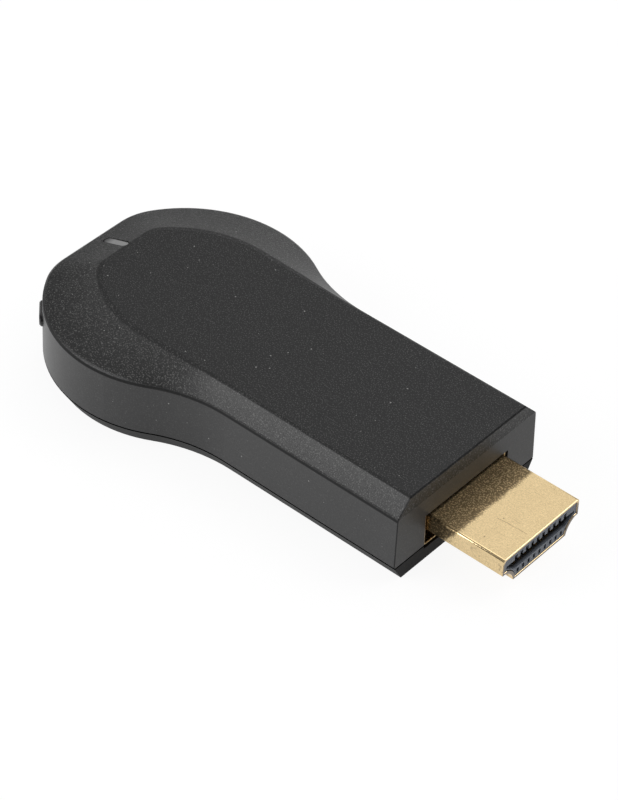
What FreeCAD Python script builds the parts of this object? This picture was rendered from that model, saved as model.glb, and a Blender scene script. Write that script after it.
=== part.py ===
import FreeCAD, Part
import math
import os

# Streaming media stick: a keyhole-shaped snap-together case around one circuit
# board, with a full-size video plug at one end and a power socket, a light and
# a sprung reset button at the other. Millimetres. X runs from the head to the
# plug tip, Z is up, and the origin is under the middle of the whole stick.

V = FreeCAD.Vector

# Whole stick
length = 72.0
plug_reach = 11.0
height = 12.0

# Case outline, seen from above
head_radius = 17.5
head_end_cut = 1.5
end_corner_radius = 8.0
stick_half_width = 12.7
neck_radius = 20.0

# Case levels and slopes
seam_height = 2.2
seam_gap = 0.15
rim_height = 9.7
side_draft = 0.25
foot_inset = 1.2
rim_round_share = 0.06
crest_round = 0.2
crest_round_share = 0.06

# Raised flat on top
flat_half_width = 10.35
flat_end_setback = 6.5
flat_bend_radius = 16.5
flat_bend_lead = 3.0
flat_corner_radius = 3.0

# Case walls and the tongue that closes it
wall = 1.3
roof = 1.4
floor = 1.2
tongue_thickness = 0.8
tongue_height = 1.25
fit_gap = 0.12
snap_length = 4.0
snap_height = 0.7
snap_depth = 0.3
snap_rise = 0.75
snap_end_margin = 5.0

# Board
board_thickness = 1.0
board_edge_gap = 0.5
peg_radius = 1.3
pin_radius = 0.7
pin_rise = 0.6
peg_side_gap = 0.5
front_peg_setback = 13.0
solder = 0.05

# Video plug
plug_width = 13.9
plug_height = 4.45
plug_bottom = 2.25
plug_side_height = 2.45
plug_step = 0.5
plug_foot_half_width = 4.85
plug_cove = 0.35
plug_corner = 0.35
plug_sheet = 0.3
plug_depth = 5.4
core_recess = 0.1
cavity_height = 1.4
upper_bar = 1.15
cavity_depth = 7.0
cavity_side_wall = 0.35
cavity_side_height = 0.35
cavity_foot_half_width = 4.6
contact_pitch = 1.0
upper_contact_count = 10
lower_contact_count = 9
contact_width = 0.4
contact_thickness = 0.2
contact_setback = 0.6
slot_width = 0.5
slot_height = 0.65
window_height = 0.7
window_depth = 1.5
tail_length = 1.9
tab_length = 3.6
tab_height = 1.0
collar_gap = 0.15
collar_sheet = 0.25
collar_recess = 0.2
mouth_gap = 0.15

# Power socket
socket_width = 7.5
socket_height = 2.6
socket_depth = 5.4
socket_chamfer = 0.9
socket_sheet = 0.25
socket_recess = 0.7
socket_tongue_width = 3.9
socket_tongue_thickness = 0.6
socket_tongue_reach = 3.4
socket_contact_count = 5
socket_contact_pitch = 0.65
socket_contact_width = 0.35
socket_mouth_gap = 0.35
socket_mouth_chamfer = 0.4

# Light pipe
light_length = 4.1
light_width = 1.2
light_side_offset = 0.5
light_setback = 2.0
light_sink = 0.15
light_arm = 0.8
light_leg = 1.0
light_gap = 0.2
led_length = 1.6
led_width = 1.0
led_height = 0.7

# Reset button and its switch
button_angle = 224.5
button_length = 4.0
button_width = 1.8
button_rise = 0.35
button_height = 7.1
button_edge_cut = 0.2
button_gap = 0.15
button_flange = 0.6
button_flange_thickness = 0.6
button_travel = 0.25
travel_room = 0.05
switch_length = 4.4
switch_height = 3.8
switch_base_depth = 1.9
switch_flap_length = 1.2
switch_cover_sheet = 0.2
plunger_radius = 0.6
plunger_flange_radius = 0.95
plunger_flange_thickness = 0.35
dome_rise = 0.3
dome_sheet = 0.1

# Board parts
shield_height = 1.8
shield_sheet = 0.2
shield_gap = 0.05
shield_side_room = 1.8
processor_size = 12.0
processor_height = 1.1
memory_length = 7.0
memory_width = 11.0
memory_height = 0.9
flash_length = 9.0
flash_width = 11.0
flash_height = 1.0
radio_size = 12.0
radio_height = 1.2
lower_shield_height = 1.6
power_size = 4.0
power_height = 0.9
crystal_length = 3.2
crystal_width = 2.5
crystal_height = 0.8
coil_size = 2.8
coil_height = 1.4
capacitor_length = 1.6
capacitor_width = 0.8
capacitor_height = 0.8
antenna_length = 12.0
antenna_height = 2.6
antenna_flange = 2.2
antenna_sheet = 0.25
pad_margin = 1.0
spreader_pad_height = 1.0
spreader_thickness = 1.0
spreader_lip = 0.8
spreader_corner = 1.5
rib_thickness = 0.8
chip_gap = 0.8
part_gap = 1.0

# Places worked out from the sizes above
head_end = -length / 2
tip = length / 2
end_face = tip - plug_reach
head_x = head_end + head_radius - head_end_cut
neck_y = stick_half_width + neck_radius
neck_x = head_x + math.sqrt((head_radius + neck_radius) ** 2 - neck_y ** 2)
corner_x = head_end + end_corner_radius
corner_y = math.sqrt((head_radius - end_corner_radius) ** 2 - (corner_x - head_x) ** 2)
neck_angle = math.atan2(neck_y, neck_x - head_x)
corner_angle = math.atan2(corner_y, corner_x - head_x)
bend_angle = math.acos(flat_bend_lead / head_radius)
plug_top = plug_bottom + plug_height
plug_half = plug_width / 2
board_bottom = plug_bottom + plug_height / 2 - board_thickness / 2
board_top = board_bottom + board_thickness
tongue_inset = wall + fit_gap
tray_inset = tongue_inset + tongue_thickness
tongue_top = seam_height + tongue_height
shell_bottom = seam_height + seam_gap / 2
cover_top = seam_height - seam_gap / 2
roof_under = height - roof
facet_fold = 0.6 * wall
plug_back = end_face - plug_depth
board_front = plug_back - fit_gap
cavity_top = plug_top - plug_sheet - upper_bar
cavity_bottom = cavity_top - cavity_height
core_gap = fit_gap / 2
core_face = tip - core_recess
core_back = plug_back + 3 * fit_gap
seat = board_top + solder
under_seat = board_bottom - solder
socket_front = head_end + socket_recess
socket_back = socket_front + socket_depth
socket_top = seat + socket_height
led_x = socket_back + part_gap + led_width / 2
shield_length = processor_size + memory_length + 3 * chip_gap + 2 * shield_sheet
shield_width = max(processor_size, memory_width) + 2 * shield_side_room + 2 * shield_sheet
shield_x = led_x + led_width / 2 + part_gap + shield_length / 2
shield_top = seat + shield_height
spreader_bottom = shield_top + spreader_pad_height
spreader_top = spreader_bottom + spreader_thickness
processor_x = shield_x - shield_length / 2 + shield_sheet + chip_gap + processor_size / 2
memory_x = processor_x + processor_size / 2 + chip_gap + memory_length / 2
flash_x = shield_x + shield_length / 2 + part_gap + flash_length / 2
coil_x = shield_x + shield_length / 2 + part_gap + coil_size / 2
power_x = coil_x + coil_size / 2 + part_gap + power_size / 2
capacitor_x = board_front - tail_length - part_gap - capacitor_length / 2


def arc(start, middle, end):
    return Part.Arc(start, middle, end).toShape()


def edge_through(points):
    """Arc through three points, or a line where there are two or they lie in line."""
    start = points[0]
    end = points[-1]
    middle = points[len(points) // 2]
    if middle.distanceToLine(start, end - start) < 0.001:
        return Part.makeLine(start, end)
    return arc(start, middle, end)


def polygon(points):
    return Part.Face(Part.makePolygon(points + points[:1]))


def box(x0, x1, y0, y1, z0, z1):
    return Part.makeBox(x1 - x0, y1 - y0, z1 - z0, V(x0, y0, z0))


def centred_box(x, y, size_x, size_y, z0, z1):
    return box(x - size_x / 2, x + size_x / 2, y - size_y / 2, y + size_y / 2, z0, z1)


def channel(x0, x1, y, width, z0, z1):
    """Box along X with its middle at y."""
    return box(x0, x1, y - width / 2, y + width / 2, z0, z1)


def cylinder(x, y, radius, z0, z1):
    return Part.makeCylinder(radius, z1 - z0, V(x, y, z0))


def join(shapes):
    return shapes[0].fuse(shapes[1:]).removeSplitter() if len(shapes) > 1 else shapes[0]


def rounded_box(x, y, size_x, size_y, z0, z1, radius):
    block = centred_box(x, y, size_x, size_y, z0, z1)
    upright = [edge for edge in block.Edges if edge.BoundBox.ZLength > (z1 - z0) / 2]
    return block.makeFillet(radius, upright)


def pill(length_x, width_y, z0, z1):
    """Upright prism with round ends, long along X, centred on the Z axis."""
    radius = width_y / 2
    half = length_x / 2 - radius
    edges = [
        Part.makeLine(V(-half, -radius, z0), V(half, -radius, z0)),
        arc(V(half, -radius, z0), V(half + radius, 0, z0), V(half, radius, z0)),
        Part.makeLine(V(half, radius, z0), V(-half, radius, z0)),
        arc(V(-half, radius, z0), V(-half - radius, 0, z0), V(-half, -radius, z0)),
    ]
    return Part.Face(Part.Wire(edges)).extrude(V(0, 0, z1 - z0))


def around(x, y, radius, angle, z):
    return V(x + radius * math.cos(angle), y + radius * math.sin(angle), z)


def mirrored(point):
    return V(point.x, -point.y, point.z)


def closed_outline(half):
    """Closes a half outline, given from the end face to the head, with its mirror image."""
    edges = [edge_through(points) for points in half]
    head_point = half[-1][-1]
    edges.append(Part.makeLine(head_point, mirrored(head_point)))
    for points in reversed(half):
        edges.append(edge_through([mirrored(point) for point in reversed(points)]))
    front_point = half[0][0]
    edges.append(Part.makeLine(mirrored(front_point), front_point))
    return Part.Wire(edges)


def case_half(z, inset, front_inset=0.0):
    """Half of the keyhole outline at height z, drawn in by inset, and by front_inset at the plug."""
    side = stick_half_width - inset
    head = head_radius - inset
    neck_start = -math.pi / 2
    neck_end = neck_angle - math.pi
    front = V(end_face - front_inset, side, z)
    neck_foot = V(neck_x, side, z)
    neck_middle = around(neck_x, neck_y, neck_radius + inset, (neck_start + neck_end) / 2, z)
    neck_top = around(head_x, 0, head, neck_angle, z)
    lead_middle = around(head_x, 0, head, (neck_angle + bend_angle) / 2, z)
    bend = around(head_x, 0, head, bend_angle, z)
    back_middle = around(head_x, 0, head, (bend_angle + corner_angle) / 2, z)
    back = around(head_x, 0, head, corner_angle, z)
    corner_middle = around(corner_x, corner_y, end_corner_radius - inset, (corner_angle + math.pi) / 2, z)
    end = V(head_end + inset, corner_y, z)
    return [
        [front, neck_foot],
        [neck_foot, neck_middle, neck_top],
        [neck_top, lead_middle, bend],
        [bend, back_middle, back],
        [back, corner_middle, end],
    ]


def flat_half(z, inset, front_inset=0.0):
    """Half of the raised flat's outline, with a piece for each piece of the case's outline."""
    side = flat_half_width - inset
    bend_x = head_x + flat_bend_lead
    bend_y = flat_half_width - flat_bend_radius
    round_x = head_end + flat_end_setback + flat_corner_radius
    reach = flat_bend_radius - flat_corner_radius
    round_y = bend_y + math.sqrt(reach ** 2 - (bend_x - round_x) ** 2)
    turn = math.atan2(round_y - bend_y, round_x - bend_x)
    bend_radius = flat_bend_radius - inset
    corner_radius = flat_corner_radius - inset
    front = V(end_face - front_inset, side, z)
    neck_foot = V(neck_x, side, z)
    neck_top = V((neck_x + bend_x) / 2, side, z)
    bend = V(bend_x, side, z)
    back_middle = around(bend_x, bend_y, bend_radius, (math.pi / 2 + turn) / 2, z)
    back = around(bend_x, bend_y, bend_radius, turn, z)
    corner_middle = around(round_x, round_y, corner_radius, (turn + math.pi) / 2, z)
    end = V(head_end + flat_end_setback + inset, round_y, z)
    middle_x = (neck_x + neck_top.x) / 2
    return [
        [front, neck_foot],
        [neck_foot, V(middle_x, side, z), neck_top],
        [neck_top, V((neck_top.x + bend_x) / 2, side, z), bend],
        [bend, back_middle, back],
        [back, corner_middle, end],
    ]


def between(half_a, half_b, share):
    """Half outline that lies the given share of the way from one half outline to another."""
    return [[a + (b - a) * share for a, b in zip(part_a, part_b)] for part_a, part_b in zip(half_a, half_b)]


def rounded(below, corner, above):
    """Three levels that round the corner between two slopes."""
    chord = between(below, above, 0.5)
    return [below, between(corner, chord, 0.5), above]


def loft(halves):
    return Part.makeLoft([closed_outline(half) for half in halves], True, True)


def raised(half, z0, z1):
    """Prism from z0 to z1 over a half outline that is drawn at height z0."""
    return Part.Face(closed_outline(half)).extrude(V(0, 0, z1 - z0))


def prism(z0, z1, inset, front_inset):
    return raised(case_half(z0, inset, front_inset), z0, z1)


def outer_top():
    """Outside of the upper case: drafted wall, ruled facets up to the flat, softened edges."""
    foot = case_half(shell_bottom, 0)
    rim = case_half(rim_height, side_draft)
    crest = flat_half(height, 0)
    rim_levels = rounded(between(rim, foot, rim_round_share), rim, between(rim, crest, rim_round_share))
    flat = flat_half(height, crest_round, crest_round)
    return loft([foot] + rim_levels + [between(crest, rim, crest_round_share), flat])


def inner_top():
    """Hollow of the upper case: one wall inside the sides, and a well under the raised flat."""
    well_foot = rim_height - facet_fold
    body = prism(shell_bottom, well_foot, wall, wall)
    well = raised(flat_half(well_foot, facet_fold / 2, wall), well_foot, roof_under)
    return body.fuse(well)


def head_peg_y():
    return head_radius - tray_inset - peg_side_gap - peg_radius


def peg_places():
    """Four board pegs: two in the head, two near the plug."""
    head_y = head_peg_y()
    stick_y = stick_half_width - tray_inset - peg_side_gap - peg_radius
    front_x = end_face - front_peg_setback
    return [(head_x, head_y), (head_x, -head_y), (front_x, stick_y), (front_x, -stick_y)]


def snap_places():
    """Middle of each snap on the tongue, and the half width of the case there."""
    first = neck_x + snap_end_margin
    last = end_face - snap_end_margin
    return [(first, stick_half_width), (last, stick_half_width), (head_x, head_radius)]


def snap_bar(x, half_width, side, margin):
    """Ridge with a triangular section; margin makes the room around it."""
    root = half_width - tongue_inset - tongue_thickness / 2
    face = half_width - tongue_inset - margin / 2
    crown = half_width - tongue_inset + snap_depth + margin
    z = seam_height + snap_rise
    half_z = snap_height / 2 + margin
    half_x = snap_length / 2 + margin
    section = [
        V(x - half_x, side * root, z - half_z),
        V(x - half_x, side * face, z - half_z),
        V(x - half_x, side * crown, z),
        V(x - half_x, side * face, z + half_z),
        V(x - half_x, side * root, z + half_z),
    ]
    return polygon(section).extrude(V(2 * half_x, 0, 0))


def snap_bars(margin):
    return [snap_bar(x, half_width, side, margin) for x, half_width in snap_places() for side in (-1, 1)]


def plug_mouth():
    """Room in the case for the plug and its collar."""
    half = plug_half + collar_gap + collar_sheet + mouth_gap
    low = plug_bottom - collar_gap - collar_sheet - mouth_gap
    return box(plug_back - tab_length, tip, -half, half, low, plug_top + collar_gap + mouth_gap)


def wall_radius(z):
    """Distance from the head's axis to the drafted outer wall at height z."""
    return head_radius - side_draft * (z - seam_height) / (rim_height - seam_height)


def facing_button(shape):
    """Turns a shape drawn about the +X axis, r along X, to the button's place on the head."""
    turned = shape.copy()
    turned.rotate(V(0, 0, 0), V(0, 0, 1), button_angle)
    turned.translate(V(head_x, 0, 0))
    return turned


def side_pill(length_y, width_z, r0, r1):
    """Pill prism lying along the button's axis at the button's height."""
    solid = pill(length_y, width_z, r0, r1)
    solid.rotate(V(0, 0, 0), V(0, 0, 1), 90)
    solid.rotate(V(0, 0, 0), V(0, 1, 0), 90)
    solid.translate(V(0, 0, button_height))
    return solid


def facet_height(x):
    """Height of the head's end facet on the centre line."""
    slope = (height - rim_height) / (flat_end_setback - side_draft)
    return rim_height + slope * (x - head_end - side_draft)


def light_place():
    x = head_end + light_setback + light_length / 2
    return V(x, light_side_offset, 0)


def light_slot():
    slot = pill(light_length, light_width, rim_height - wall, height)
    slot.translate(light_place())
    return slot


def socket_section(x, margin):
    """Socket outline: wide at the top, corners cut at the foot."""
    half = socket_width / 2 + margin
    low = board_top + solder - margin
    high = board_top + solder + socket_height + margin
    cut = socket_chamfer
    return polygon([
        V(x, -half + cut, low), V(x, half - cut, low), V(x, half, low + cut),
        V(x, half, high), V(x, -half, high), V(x, -half, low + cut),
    ])


def socket_mouth():
    """Opening in the head's end, with a chamfer around the outside."""
    hole = socket_section(head_end - wall, socket_mouth_gap).extrude(V(3 * wall, 0, 0))
    wide = socket_section(head_end, socket_mouth_gap + socket_mouth_chamfer)
    narrow = socket_section(head_end + side_draft + socket_mouth_chamfer, socket_mouth_gap)
    flare = Part.makeLoft([wide.OuterWire, narrow.OuterWire], True, True)
    return hole.fuse(flare)


def make_top_shell():
    outer = outer_top()
    shell = outer.cut(inner_top())
    posts = []
    bores = []
    for x, y in peg_places():
        posts.append(cylinder(x, y, peg_radius, board_top, height))
        bores.append(cylinder(x, y, pin_radius + fit_gap, board_top, board_top + pin_rise + fit_gap))
    ribs = []
    for side in (-1, 1):
        rib_y = side * shield_width / 4
        rib_length = shield_length - 2 * part_gap
        ribs.append(centred_box(shield_x, rib_y, rib_length, rib_thickness, spreader_top, height))
    shell = join([shell] + [piece.common(outer) for piece in posts + ribs])
    button_hole = side_pill(button_length + 2 * button_gap, button_width + 2 * button_gap,
                            head_radius - 3 * wall, head_radius)
    openings = [plug_mouth(), socket_mouth(), light_slot(), facing_button(button_hole)]
    return shell.cut(bores + openings + snap_bars(fit_gap))


def make_bottom_cover():
    tray = loft([case_half(0, foot_inset), case_half(cover_top, 0)])
    tongue = prism(floor, tongue_top, tongue_inset, tongue_inset)
    cover = tray.fuse(tongue).cut(prism(floor, height, tray_inset, tray_inset))
    pegs = []
    for x, y in peg_places():
        pegs.append(cylinder(x, y, peg_radius, floor / 2, board_bottom))
        pegs.append(cylinder(x, y, pin_radius, floor / 2, board_top + pin_rise))
    return join([cover] + pegs + snap_bars(0)).cut(plug_mouth())


def make_light_pipe():
    """Pill head in the slot, an arm over the power socket and a leg down to the light."""
    place = light_place()
    width = light_width - 2 * fit_gap
    low = socket_top + light_gap
    head = pill(light_length - 2 * fit_gap, width, low, height)
    head.translate(place)
    x0 = head.BoundBox.XMin
    x1 = head.BoundBox.XMax
    side = place.y - light_width
    above = polygon([
        V(x0, side, facet_height(x0)),
        V(x1, side, facet_height(x1) - light_sink),
        V(x1, side, height),
        V(x0, side, height),
    ]).extrude(V(0, 2 * light_width, 0))
    arm_side = place.y - width / 2
    leg_front = led_x + light_leg / 2
    leg_back = led_x - light_leg / 2
    arm_top = low + light_arm
    bend = polygon([
        V(x1 - light_width, arm_side, low),
        V(leg_back, arm_side, low),
        V(leg_back, arm_side, seat + led_height + light_gap),
        V(leg_front, arm_side, seat + led_height + light_gap),
        V(leg_front, arm_side, arm_top - light_arm / 2),
        V(leg_front - light_arm / 2, arm_side, arm_top),
        V(x1 - light_width, arm_side, arm_top),
    ]).extrude(V(0, width, 0))
    return join([head.cut(above), bend])


def button_back():
    """Back face of the button's flange, inside the curved wall of the head."""
    inner = wall_radius(button_height) - wall
    half = button_length / 2 + button_flange
    return math.sqrt(inner ** 2 - half ** 2) - fit_gap - button_flange_thickness


def make_reset_button():
    back = button_back()
    face = wall_radius(button_height) + button_rise
    stem = side_pill(button_length, button_width, back, face)
    front = [edge for edge in stem.Edges if edge.BoundBox.XMin > head_radius - wall]
    stem = stem.makeChamfer(button_edge_cut, front)
    flange = side_pill(button_length + 2 * button_flange, button_width + 2 * button_flange,
                       back, back + button_flange_thickness)
    return facing_button(join([stem, flange]))


def switch_front():
    """Front of the switch's metal cover, clear of the pressed button."""
    return button_back() - button_travel - 2 * travel_room


def along_button(radius, r0, r1):
    return Part.makeCylinder(radius, r1 - r0, V(r0, 0, button_height), V(1, 0, 0))


def make_switch_base():
    front = switch_front() - switch_cover_sheet
    back = front - switch_base_depth
    block = box(back, front, -switch_length / 2, switch_length / 2, seat, seat + switch_height)
    pocket = along_button(plunger_flange_radius + 2 * fit_gap, dome_seat(), front)
    return facing_button(block.cut(pocket))


def dome_seat():
    """Floor of the switch's pocket: the dome stands on it, clear of the pressed plunger."""
    plunger_back = switch_front() - switch_cover_sheet - plunger_flange_thickness
    return plunger_back - button_travel - travel_room - dome_rise


def make_switch_cover():
    """Folded sheet: a front plate with the plunger's hole, and a flap down each side."""
    front = switch_front()
    back = front - switch_cover_sheet
    half = switch_length / 2
    top = seat + switch_height
    width = switch_length + 2 * switch_cover_sheet
    plate = box(back, front, -width / 2, width / 2, seat, top)
    flaps = []
    for side in (-1, 1):
        y = side * (half + switch_cover_sheet / 2)
        flap_x = back - switch_flap_length / 2
        flaps.append(centred_box(flap_x, y, switch_flap_length, switch_cover_sheet, seat, top))
    hole = along_button(plunger_radius + fit_gap, back, front)
    return facing_button(join([plate] + flaps).cut(hole))


def ball_cap(radius, rise, base_r):
    """Round cap of a ball about the +X axis, standing on the plane at base_r."""
    ball_radius = (radius ** 2 + rise ** 2) / (2 * rise)
    ball = Part.makeSphere(ball_radius, V(base_r + rise - ball_radius, 0, 0), V(1, 0, 0))
    return ball.common(Part.makeCylinder(radius, rise, V(base_r, 0, 0), V(1, 0, 0)))


def make_switch_dome():
    """Thin round cap that gives the press its click."""
    radius = plunger_flange_radius + fit_gap
    base_r = dome_seat()
    dome = ball_cap(radius, dome_rise, base_r)
    dome = dome.cut(ball_cap(radius - dome_sheet, dome_rise - dome_sheet, base_r))
    dome.translate(V(0, 0, button_height))
    return facing_button(dome)


def make_switch_plunger():
    back = switch_front() - switch_cover_sheet
    stem = along_button(plunger_radius, back - plunger_flange_thickness, button_back())
    flange = along_button(plunger_flange_radius, back - plunger_flange_thickness, back)
    return facing_button(join([stem, flange]))


def plug_section(x, inset):
    """Video plug outline: wide at the top, a step in, then a cove down to the foot."""
    half = plug_half - inset
    top = plug_top - inset
    corner = plug_corner * (1 - inset / plug_height)
    bevel = corner * (1 - math.sqrt(0.5))
    step_z = plug_top - plug_side_height + inset
    step_y = half - plug_step
    foot_y = plug_foot_half_width - inset
    foot_z = plug_bottom + inset
    chord = math.hypot(step_y - foot_y, step_z - foot_z)
    cove_y = (step_y + foot_y) / 2 - plug_cove * (step_z - foot_z) / chord
    cove_z = (step_z + foot_z) / 2 + plug_cove * (step_y - foot_y) / chord
    edges = [Part.makeLine(V(x, corner - half, top), V(x, half - corner, top))]
    for side in (1, -1):
        shoulder = V(x, side * (half - corner), top)
        corner_middle = V(x, side * (half - bevel), top - bevel)
        side_top = V(x, side * half, top - corner)
        side_foot = V(x, side * half, step_z)
        step_end = V(x, side * step_y, step_z)
        cove_middle = V(x, side * cove_y, cove_z)
        edges.append(arc(shoulder, corner_middle, side_top))
        edges.append(Part.makeLine(side_top, side_foot))
        edges.append(Part.makeLine(side_foot, step_end))
        edges.append(arc(step_end, cove_middle, V(x, side * foot_y, foot_z)))
    edges.append(Part.makeLine(V(x, foot_y, foot_z), V(x, -foot_y, foot_z)))
    return Part.Face(Part.Wire(Part.__sortEdges__(edges)))


def make_plug_shell():
    outer = plug_section(plug_back, 0).extrude(V(tip - plug_back, 0, 0))
    inner = plug_section(plug_back, plug_sheet).extrude(V(tip - plug_back, 0, 0))
    tabs = []
    tab_end = plug_back - tab_length
    tab_root = plug_back + plug_sheet
    for side in (-1, 1):
        y = side * (plug_half - plug_sheet / 2)
        tabs.append(channel(tab_end, tab_root, y, plug_sheet, board_top, board_top + tab_height))
    return join([outer.cut(inner)] + tabs)


def make_plug_collar():
    """Sheet channel under and beside the plug's root, just inside the mouth of the case."""
    inner = plug_half + collar_gap
    outer = inner + collar_sheet
    low = plug_bottom - collar_gap
    front = end_face - collar_recess
    block = box(plug_back, front, -outer, outer, low - collar_sheet, plug_top)
    hollow = box(plug_back, front, -inner, inner, low, plug_top)
    block = block.makeFillet(2 * collar_sheet, foot_edges(block))
    return block.cut(hollow.makeFillet(collar_sheet, foot_edges(hollow)))


def foot_edges(block):
    """The two bottom edges of a block that run along the plug."""
    middle = block.BoundBox.Center.z
    along = [edge for edge in block.Edges if edge.BoundBox.XLength > collar_sheet]
    return [edge for edge in along if edge.BoundBox.ZMax < middle]


def rows(count):
    """Sideways places of a row of contacts, centred on the plug."""
    return [(index - (count - 1) / 2) * contact_pitch for index in range(count)]


def make_plug_core():
    """Moulded insert: a bar of slots above the cavity and a bar of windows below it."""
    core = plug_section(core_back, plug_sheet + core_gap).extrude(V(core_face - core_back, 0, 0))
    half = plug_half - plug_sheet - core_gap - cavity_side_wall
    x = core_face - cavity_depth
    side_z = cavity_top - cavity_side_height
    cavity = polygon([
        V(x, -half, cavity_top),
        V(x, half, cavity_top),
        V(x, half, side_z),
        V(x, cavity_foot_half_width, cavity_bottom),
        V(x, -cavity_foot_half_width, cavity_bottom),
        V(x, -half, side_z),
    ]).extrude(V(cavity_depth, 0, 0))
    room = contact_thickness / 2 + solder
    cuts = [cavity]
    for y in rows(upper_contact_count):
        cuts.append(channel(core_back, core_face, y, slot_width, cavity_top - room, cavity_top + slot_height))
    groove_end = core_face - contact_setback + solder
    window_low = (cavity_bottom + plug_bottom + plug_sheet - window_height) / 2
    window_back = core_face - window_depth
    for y in rows(lower_contact_count):
        cuts.append(channel(core_back, groove_end, y, slot_width, cavity_bottom - room, cavity_bottom + room))
        cuts.append(channel(window_back, core_face, y, contact_width, window_low, window_low + window_height))
    return core.cut(cuts)


def contact(y, rail_z, tail_z):
    """Flat spring contact: a rail in the plug's cavity, then a small step to its tail on the board."""
    front = core_face - contact_setback
    bend = core_back - fit_gap
    tail_end = board_front - tail_length
    side = y - contact_width / 2
    profile = [(front, rail_z), (bend, rail_z), (board_front, tail_z), (tail_end, tail_z)]
    under = [V(x, side, z) for x, z in profile]
    over = [point + V(0, 0, contact_thickness) for point in reversed(under)]
    return polygon(under + over).extrude(V(0, contact_width, 0))


def make_upper_contacts():
    rail_z = cavity_top - contact_thickness / 2
    return Part.makeCompound([contact(y, rail_z, board_top) for y in rows(upper_contact_count)])


def make_lower_contacts():
    rail_z = cavity_bottom - contact_thickness / 2
    tail_z = board_bottom - contact_thickness
    return Part.makeCompound([contact(y, rail_z, tail_z) for y in rows(lower_contact_count)])


def make_circuit_board():
    board = prism(board_bottom, board_top, wall + board_edge_gap, end_face - board_front)
    holes = [cylinder(x, y, pin_radius + fit_gap, board_bottom, board_top) for x, y in peg_places()]
    return board.cut(holes)


def make_usb_shell():
    outer = socket_section(socket_front, 0).extrude(V(socket_depth, 0, 0))
    inner = socket_section(socket_front, -socket_sheet).extrude(V(socket_depth, 0, 0))
    return outer.cut(inner)


def socket_tongue_bottom():
    return seat + socket_height / 2


def socket_body_front():
    return socket_back - socket_depth / 3


def make_usb_tongue():
    """Moulded block at the back of the socket, with the tongue that carries the contacts."""
    front = socket_body_front()
    block = socket_section(front, -socket_sheet - core_gap).extrude(V(socket_back - front, 0, 0))
    low = socket_tongue_bottom()
    tongue = box(front - socket_tongue_reach, front, -socket_tongue_width / 2, socket_tongue_width / 2,
                 low, low + socket_tongue_thickness)
    slots = []
    for y in socket_rows():
        width = socket_contact_width + 2 * solder
        slots.append(channel(front, socket_back, y, width, low - contact_thickness - solder, low))
    return join([block, tongue]).cut(slots)


def socket_rows():
    count = socket_contact_count
    return [(index - (count - 1) / 2) * socket_contact_pitch for index in range(count)]


def make_usb_contacts():
    low = socket_tongue_bottom()
    front = socket_body_front() - socket_tongue_reach + socket_recess
    tail = socket_back + part_gap / 2
    rise = contact_thickness
    solids = []
    for y in socket_rows():
        side = y - socket_contact_width / 2
        outline = [
            V(front, side, low),
            V(tail, side, low),
            V(tail, side, board_top),
            V(tail - rise, side, board_top),
            V(tail - rise, side, low - rise),
            V(front, side, low - rise),
        ]
        solids.append(polygon(outline).extrude(V(0, socket_contact_width, 0)))
    return Part.makeCompound(solids)


def shield_ring(z0, z1, outer_growth):
    """Thin square tube around the shielded parts."""
    outer_x = shield_length + 2 * outer_growth
    outer_y = shield_width + 2 * outer_growth
    outer = centred_box(shield_x, 0, outer_x, outer_y, z0, z1)
    inner = centred_box(shield_x, 0, outer_x - 2 * shield_sheet, outer_y - 2 * shield_sheet, z0, z1)
    return outer.cut(inner)


def make_shield_frame():
    """Soldered fence with a narrow rim turned in at the top and a bar across it."""
    rim_top = shield_top - shield_sheet
    fence = shield_ring(seat, rim_top, 0)
    plate = centred_box(shield_x, 0, shield_length, shield_width, rim_top - shield_sheet, rim_top)
    bar_x = (processor_x + processor_size / 2 + memory_x - memory_length / 2) / 2
    back = shield_x - shield_length / 2 + part_gap
    front = shield_x + shield_length / 2 - part_gap
    holes = []
    for x0, x1 in ((back, bar_x - chip_gap / 2), (bar_x + chip_gap / 2, front)):
        holes.append(channel(x0, x1, 0, shield_width - 2 * part_gap, rim_top - shield_sheet, rim_top))
    return join([fence, plate.cut(holes)])


def make_shield_can():
    growth = shield_gap + shield_sheet
    lid = centred_box(shield_x, 0, shield_length + 2 * growth, shield_width + 2 * growth,
                      shield_top - shield_sheet, shield_top)
    skirt = shield_ring(seat + shield_height / 3, shield_top - shield_sheet, growth)
    return join([lid, skirt])


def lower_shield_bottom():
    return under_seat - lower_shield_height


def make_lower_shield_can():
    """Pressed can over the radio, open towards the board."""
    size = radio_size + 2 * chip_gap
    outer = rounded_box(processor_x, 0, size, size, lower_shield_bottom(), under_seat, chip_gap)
    inner = centred_box(processor_x, 0, size - 2 * shield_sheet, size - 2 * shield_sheet,
                        lower_shield_bottom() + shield_sheet, under_seat)
    upright = [edge for edge in inner.Edges if edge.BoundBox.ZLength > shield_sheet]
    return outer.cut(inner.makeFillet(chip_gap - shield_sheet, upright))


def chip(x, y, size_x, size_y, tall):
    return centred_box(x, y, size_x, size_y, seat, seat + tall)


def make_processor():
    """Carrier with a raised moulded top."""
    carrier = chip(processor_x, 0, processor_size, processor_size, processor_height / 2)
    top = chip(processor_x, 0, processor_size - chip_gap, processor_size - chip_gap, processor_height)
    return join([carrier, top])


def make_processor_pad():
    size = processor_size - 2 * pad_margin
    low = seat + processor_height
    return rounded_box(processor_x, 0, size, size, low, shield_top - shield_sheet, chip_gap)


def make_spreader_pad():
    return rounded_box(shield_x, 0, shield_length - 6 * pad_margin, shield_width - 4 * pad_margin,
                       shield_top, spreader_bottom, chip_gap)


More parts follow.
